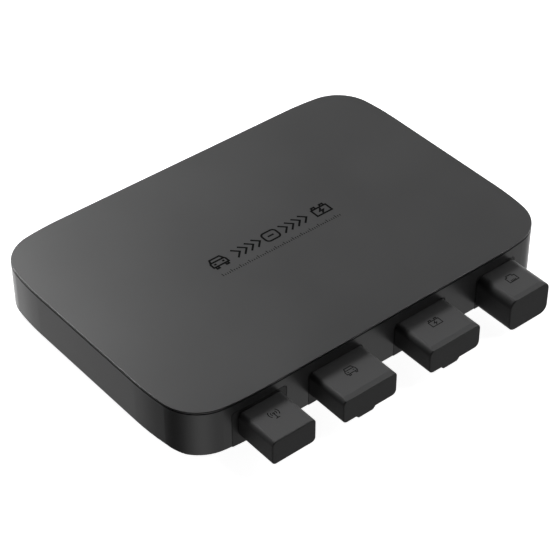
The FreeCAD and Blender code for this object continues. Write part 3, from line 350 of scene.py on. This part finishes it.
# The picture row reads: from the vehicle, through the charger, to the storage battery.
ROW_STROKE, ROW_SCALE, ROW_Y = 1.15, 1.5, 3.0
ARROW_HEIGHT, ARROW_PITCH, ARROW_DEPTH = 7.4, 4.6, 3.7
arrows = [([(x, -ARROW_HEIGHT / 2), (x + ARROW_DEPTH, 0), (x, ARROW_HEIGHT / 2)], False)
          for start in (-25.0, 7.6) for x in start + ARROW_PITCH * np.arange(4)]
picture_row = placed(CAR_FRONT, -35.6, 0, ROW_SCALE) + placed(STORAGE_BOX, 35.4, 0, ROW_SCALE) + arrows
picture_row += [(rounded_box(0, 0, 9.4, ARROW_HEIGHT, 2.2), True), ([(-2.0, 0), (2.0, 0)], False)]
printed("cover_picture_row", picture_row, ROW_STROKE * MM, Vector((0, ROW_Y * MM)), cover_high.z, "body")

TICK_PITCH, TICK_REACH, TICK_STROKE, SCALE_Y = 1.5, 40.5, 0.42, -6.7
ticks = [([(x, -1.2), (x, 0.1 if i % 4 else 1.2)], False)
         for i, x in enumerate(np.arange(-TICK_REACH, TICK_REACH + 0.1, TICK_PITCH))]
printed("cover_fine_scale", ticks, TICK_STROKE * MM, Vector((0, SCALE_Y * MM)), cover_high.z, "body")

CAP_MARKS = {"antenna": RADIO_MAST, "vehicle": CAR_FRONT, "battery": STORAGE_BOX, "data": NETWORK_SOCKET}
MARK_FROM_BACK, MARK_STROKE, MARK_SINK = 11.0, 0.5, 0.01
for port, strokes in CAP_MARKS.items():
    low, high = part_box(f"{port}_cap")
    middle = Vector(((low.x + high.x) / 2, high.y - MARK_FROM_BACK * MM))
    printed(f"{port}_cap_mark", strokes, MARK_STROKE * MM, middle, high.z - MARK_SINK * MM, f"{port}_cap")


# Ports and caps. The ports are glass-filled nylon, black; the caps are soft moulded rubber, near
# black and dull, that push over them. Two low ribs moulded round each spigot grip its cap.

dress([f"{port}_port" for port in CAP_MARKS], moulded("port_nylon", 0.022, 0.5, 0.4 * MM, 0.012 * MM))
dress([f"{port}_cap" for port in CAP_MARKS],
      moulded("cap_rubber", 0.028, 0.62, 0.3 * MM, 0.010 * MM, shine=0.40))

rib_rubber = moulded("rib_rubber", 0.012, 0.45, 0.3 * MM, 0.004 * MM)
CAP_WALL, CAP_GAP, LEAST_ROUND = 1.6, 0.35, 0.8
RIB_PROUD, RIB_SINK, RIB_WIDTH, RIBS_FROM_BACK = 0.22, 0.10, 1.6, (4.5, 8.0)
# Each cap's height and the round of its corners.
CAP_OUTLINES = {"antenna": (15.3, 2.7), "vehicle": (15.3, 2.9), "battery": (15.7, 3.4), "data": (21.1, 5.0)}


def rib(x, z, width, height, radius, y):
    """A rounded rectangle carried round with a low hump for its profile: each point of the outline
    moves outwards by the hump's height at that step across the rib."""
    across = np.linspace(0, 1, 9)
    hump = -RIB_SINK + (RIB_PROUD + RIB_SINK) * np.sin(np.pi * across)
    outline = rounded_box(0, 0, width, height, radius)
    corner = np.sign(outline) * (width / 2 - radius, height / 2 - radius)
    outwards = (outline - corner) / radius
    rings = outline[None] + outwards[None] * hump[:, None, None]
    depth = np.broadcast_to((y + (across - 0.5) * RIB_WIDTH)[:, None], rings.shape[:2])
    corners = np.stack([x + rings[..., 0], depth, z + rings[..., 1]], 2).reshape(-1, 3)
    count, steps = len(outline), len(across)
    i, j = np.meshgrid(np.arange(steps), np.arange(count), indexing="ij")
    nxt, over = (j + 1) % count, (i + 1) % steps
    faces = np.stack([i * count + j, over * count + j, over * count + nxt, i * count + nxt], 2)
    return corners * MM, faces.reshape(-1, 4)


for port, (tall, cap_round) in CAP_OUTLINES.items():
    low, high = (np.array(corner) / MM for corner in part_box(f"{port}_cap"))
    inset = CAP_WALL + CAP_GAP
    middle_x, middle_z = (low[0] + high[0]) / 2, high[2] - tall / 2
    ribs = [rib(middle_x, middle_z, high[0] - low[0] - inset * 2, tall - inset * 2,
                max(cap_round - inset, LEAST_ROUND), high[1] - from_back) for from_back in RIBS_FROM_BACK]
    new_piece(f"{port}_spigot_ribs", *several(ribs), rib_rubber, "body", "seal_rubber")


# Contacts, seals and clamps. Turned pins and flat blades with a thin gold plating, smooth black
# rubber frames behind the wall, and bridges of rolled steel.


def plated(name, colour, roughness, streaks=(1, 1, 1), size=1.2 * MM):
    """Bare or plated metal: fine streaks, long along the axis with the smallest scale."""
    finish = Finish(name, Metallic=1.0)
    streak = finish.grain(size, 3.0, finish.stretched(*streaks))
    cloud = finish.grain(8 * MM)
    dull = tuple(channel * 0.82 for channel in colour[:3]) + (1.0,)
    finish.feed("Base Color", finish.blend(streak * 0.5 + cloud * 0.5, dull, colour))
    finish.feed("Roughness", finish.ease(streak, 0.3, 0.7, roughness - 0.07, roughness + 0.07))
    return finish.relief(streak, 0.004 * MM)


gold = plated("contact_gold", (0.83, 0.66, 0.32, 1.0), 0.24, (1, 0.15, 1))
steel = plated("screw_steel", (0.55, 0.55, 0.57, 1.0), 0.34, (1, 1, 4))
copper = plated("bare_copper", (0.74, 0.37, 0.21, 1.0), 0.36, (1, 0.1, 1))
dress([f"{port}_contacts" for port in CAP_MARKS], gold)
dress([f"{port}_clamp" for port in CAP_MARKS], plated("clamp_steel", (0.5, 0.5, 0.52, 1.0), 0.4, (0.1, 1, 1)))
dress([f"{port}_seal" for port in CAP_MARKS] + ["base_gasket"],
      moulded("seal_rubber", 0.012, 0.5, 0.8 * MM, 0.004 * MM))


# Base screws. Pan-headed steel screws with a six-lobed recess, driven from below; one shape, turned
# about each screw's own axis.


LOBES, LOBE_SWELL, TURNED_STEPS = 6, 0.16, 36


def turned(profile, places, steps=TURNED_STEPS, lobed=()):
    """A profile of (radius, height) points carried round an upright axis at each place: x is r cos a
    and y is r sin a. The first and last points lie on the axis. Rows in lobed swell by a share of
    their radius times the cosine of six times the angle. Gives corners, quads and end fans."""
    profile = np.asarray(profile, float)
    angle = np.linspace(0, 2 * np.pi, steps, endpoint=False)
    rows = profile[1:-1]
    swell = np.array([LOBE_SWELL if i in lobed else 0.0 for i in range(1, len(profile) - 1)])
    radius = rows[:, :1] * (1 + swell[:, None] * np.cos(LOBES * angle))
    ring = np.stack([radius * np.cos(angle), radius * np.sin(angle),
                     np.broadcast_to(rows[:, 1:], radius.shape)], 2).reshape(-1, 3)
    corners = np.vstack([ring, [0, 0, profile[0, 1]], [0, 0, profile[-1, 1]]])
    i, j = np.meshgrid(np.arange(len(rows) - 1), np.arange(steps), indexing="ij")
    nxt = (j + 1) % steps
    sides = np.stack([i * steps + j, i * steps + nxt, (i + 1) * steps + nxt, (i + 1) * steps + j], 2)
    j, nxt = j[0], nxt[0]
    last, low, high = (len(rows) - 1) * steps, len(ring), len(ring) + 1
    fans = np.vstack([np.stack([np.full(steps, low), nxt, j], 1),
                      np.stack([np.full(steps, high), last + j, last + nxt], 1)])
    return [(corners + place, sides.reshape(-1, 4), fans) for place in np.asarray(places, float)]


def turned_piece(name, shapes, finish, node, slot):
    """Turned shapes in millimetres as one piece, which stands for a CAD node of the box."""
    starts = np.cumsum([0] + [len(corners) for corners, _, _ in shapes[:-1]])
    faces = [face for (_, quads, fans), start in zip(shapes, starts)
             for face in (*(quads + start), *(fans + start))]
    corners = np.vstack([corners for corners, _, _ in shapes]) * MM
    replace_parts(new_piece(name, corners, faces, finish, "body", slot), node)


def islands(node, gap):
    """The low and high corners, in millimetres, of each separate solid in a CAD node. Mesh corners less
    than gap apart in plan from the first one left over belong to the same solid."""
    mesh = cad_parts[node].data
    flat = np.empty(len(mesh.vertices) * 3)
    mesh.vertices.foreach_get("co", flat)
    corners = flat.reshape(-1, 3) / MM
    clumps = []
    while len(corners):
        near = np.linalg.norm(corners[:, :2] - corners[0, :2], axis=1) < gap
        clumps.append((corners[near].min(0), corners[near].max(0)))
        corners = corners[~near]
    return clumps


# Each (radius, height): the head's over the screw's lowest point, the tip's under its highest.
SCREW_HEAD = [(0, 0.9), (1.05, 0.85), (1.05, 0.25), (1.2, 0.05), (1.9, 0.02), (2.45, 0.25), (2.75, 0.75),
              (2.75, 1.7), (1.45, 1.7)]
SCREW_TIP = [(1.45, -0.8), (0.95, 0), (0, 0)]
RECESS_ROWS, SCREW_GAP, SCREW_STEPS = (1, 2, 3), 6.0, 48
screws = []
for low, high in islands("base_screws", SCREW_GAP):
    profile = SCREW_HEAD + np.array((0, low[2])), SCREW_TIP + np.array((0, high[2]))
    middle = ((low[0] + high[0]) / 2, (low[1] + high[1]) / 2, 0)
    screws += turned(np.vstack(profile), [middle], SCREW_STEPS, lobed=RECESS_ROWS)
turned_piece("lobed_base_screws", screws, steel, "base_screws", "screw_steel")
dress(["board_screws", "fuse_blades"], steel)


# Boards. Glass-fibre laminate with green solder mask over its tracks, which show as a slightly paler
# relief, and tinned pads.


def circuit(name, pitch):
    finish = Finish(name, Roughness=0.4)
    x, y = finish.along("X"), finish.along("Y")
    cell = finish.node("ShaderNodeTexVoronoi", {"distance": "MANHATTAN", "feature": "F1"},
                       {"Vector": finish.place, "Scale": 1 / pitch, "Randomness": 0.35}, output="Distance")
    track = cell.sum("WRAP", x * (1 / pitch) + finish.grain(pitch * 6) * 2.0, 1.0, 0.0).near(0.5, 0.18)
    lane = cell.sum("WRAP", y * (1 / (pitch * 3)) + finish.grain(pitch * 9), 1.0, 0.0).over(0.45)
    pad = 1 - cell.over(0.16)
    masked = finish.blend(track * lane, (0.012, 0.075, 0.032, 1.0), (0.022, 0.13, 0.055, 1.0))
    finish.feed("Base Color", finish.blend(pad, masked, (0.55, 0.55, 0.52, 1.0)))
    finish.feed("Metallic", pad * 0.9)
    return finish.relief(track * lane * 0.6 + pad * 0.4, 0.05 * MM)


dress(["main_board", "control_board", "radio_module"], circuit("board_laminate", 2.54 * MM))


# Chips and transistors. Black epoxy with a faint grain, a header of black nylon, and soft grey pads
# that the transistors sit on to shed their heat.

dress(["controller_chip", "transistors"], moulded("chip_epoxy", 0.018, 0.5, 0.2 * MM, 0.01 * MM))
dress(["board_header"], moulded("header_nylon", 0.014, 0.4, 0.5 * MM, 0.01 * MM))
thermal = Finish("thermal_pad", Roughness=0.8)
fleck = thermal.grain(0.5 * MM, 4.0)
thermal.feed("Base Color", thermal.blend(fleck, (0.32, 0.35, 0.40, 1.0), (0.50, 0.53, 0.58, 1.0)))
thermal.relief(fleck, 0.03 * MM)
dress(["thermal_pads"], thermal)


# Magnetics. Pressed ferrite, charcoal with pale specks, round a flat coil of enamelled copper wire
# wound in two layers; the coil's ends stay inside its own height.

ferrite = Finish("ferrite", Roughness=0.65)
spot = ferrite.grain(0.35 * MM, 5.0)
ferrite.feed("Base Color", ferrite.blend(ferrite.ease(spot, 0.45, 0.7), grey(0.030), grey(0.085)))
ferrite.relief(spot, 0.03 * MM)
MAGNETICS = ("transformer", "left_inductor", "right_inductor")
dress([f"{name}_core" for name in MAGNETICS], ferrite)

WIRE, LAYERS, WIRE_STEPS, TURN_STEPS, COIL_MARGIN = 0.9, 2, 8, 40, 0.06


def wound(x, y, bottom, height, inner):
    """Wire laid in a helix: its middle turns at a fixed radius while it climbs one wire's width a turn,
    and a small circle is carried along it, whose axes point away from the helix's axis and up. Four
    corners of each end circle make each of its end faces."""
    shapes = []
    turns = height / WIRE - 1
    for layer in range(LAYERS):
        turn = np.linspace(0, 2 * np.pi * turns, int(TURN_STEPS * turns))[:, None]
        around = np.linspace(0, 2 * np.pi, WIRE_STEPS, endpoint=False)[None]
        radius = inner + WIRE * (layer + 0.52) + WIRE * 0.46 * np.cos(around)
        level = bottom + WIRE * (0.5 + turn / (2 * np.pi)) + WIRE * 0.46 * np.sin(around)
        corners = np.stack([x + radius * np.cos(turn), y + radius * np.sin(turn), level], 2).reshape(-1, 3)
        i, j = np.meshgrid(np.arange(len(turn) - 1), np.arange(WIRE_STEPS), indexing="ij")
        here, nxt = i * WIRE_STEPS, (j + 1) % WIRE_STEPS
        onward = here + WIRE_STEPS
        faces = np.stack([here + j, onward + j, onward + nxt, here + nxt], 2).reshape(-1, 4)
        last, half = (len(turn) - 1) * WIRE_STEPS, np.arange(0, WIRE_STEPS - 2, 2)
        start = np.stack([0 * half, half + 1, half + 2, half + 3], 1) % WIRE_STEPS
        shapes.append((corners, np.vstack([faces, start, last + start[:, ::-1]])))
    return several(shapes)


enamel = plated("enamelled_copper", (0.62, 0.24, 0.10, 1.0), 0.28, (1, 1, 1), 2.5 * MM)
enamel.shader.inputs["Coat Weight"].default_value = 0.6
for name in MAGNETICS:
    low, high = (np.array(corner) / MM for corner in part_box(f"{name}_coil"))
    outer = (high[0] - low[0]) / 2
    corners, faces = wound((low[0] + high[0]) / 2, (low[1] + high[1]) / 2, low[2], high[2] - low[2],
                           outer - WIRE * LAYERS - COIL_MARGIN)
    winding = new_piece(f"{name}_winding", corners * MM, faces, enamel, "body", "copper")
    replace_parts(winding, f"{name}_coil")


# Capacitors. Drawn aluminium cans in a shrunk sleeve, with a rolled groove near the foot and a bare
# top that has a shallow dish.

sleeve = Finish("can_sleeve", Specular_IOR_Level=0.5)
BARE_TOP = 0.35 * MM
can_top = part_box("input_capacitors")[1].z
bare = sleeve.along("Z").over(can_top - BARE_TOP)
wrinkle = sleeve.grain(1.5 * MM, 3.0, sleeve.stretched(1, 1, 0.2))
film = sleeve.blend(wrinkle, (0.010, 0.018, 0.05, 1.0), (0.018, 0.03, 0.08, 1.0))
sleeve.feed("Base Color", sleeve.blend(bare, film, (0.75, 0.75, 0.77, 1.0)))
sleeve.feed("Metallic", bare)
sleeve.feed("Roughness", sleeve.ease(wrinkle, 0.3, 0.7, 0.25, 0.38))
sleeve.relief(wrinkle, 0.02 * MM)
# Each (radius, height): the foot's over the can's lowest point, the top's under its highest.
CAN_FOOT = [(0, 0), (4.5, 0), (5.0, 0.5), (5.0, 1.6), (4.65, 2.0), (5.0, 2.4)]
CAN_TOP = [(5.0, -0.5), (4.85, -0.15), (4.5, 0), (4.1, -0.05), (3.7, -0.3), (0, -0.3)]
CAN_GAP = 10.5
for name in ("input_capacitors", "output_capacitors"):
    cans = []
    for low, high in islands(name, CAN_GAP):
        profile = CAN_FOOT + np.array((0, low[2])), CAN_TOP + np.array((0, high[2]))
        cans += turned(np.vstack(profile), [((low[0] + high[0]) / 2, (low[1] + high[1]) / 2, 0)])
    turned_piece(f"{name}_cans", cans, sleeve, name, "can_sleeve")


# Fuse, shunt, bus bars and radio shield. The fuse's case is glossy orange plastic, the bars are bare
# drawn copper, and the shield is tinned sheet steel.

fuse = Finish("fuse_plastic", Specular_IOR_Level=0.6)
haze = fuse.grain(3 * MM)
fuse.feed("Base Color", fuse.blend(haze, (0.62, 0.17, 0.02, 1.0), (0.80, 0.28, 0.04, 1.0)))
fuse.feed("Roughness", fuse.ease(haze, 0.3, 0.7, 0.16, 0.24))
dress(["fuse_case"], fuse)
dress(["shunt", "vehicle_bus_bars", "battery_bus_bars"], copper)
dress(["radio_shield"], plated("tinned_sheet", (0.72, 0.72, 0.70, 1.0), 0.3, (0.2, 1, 1)))
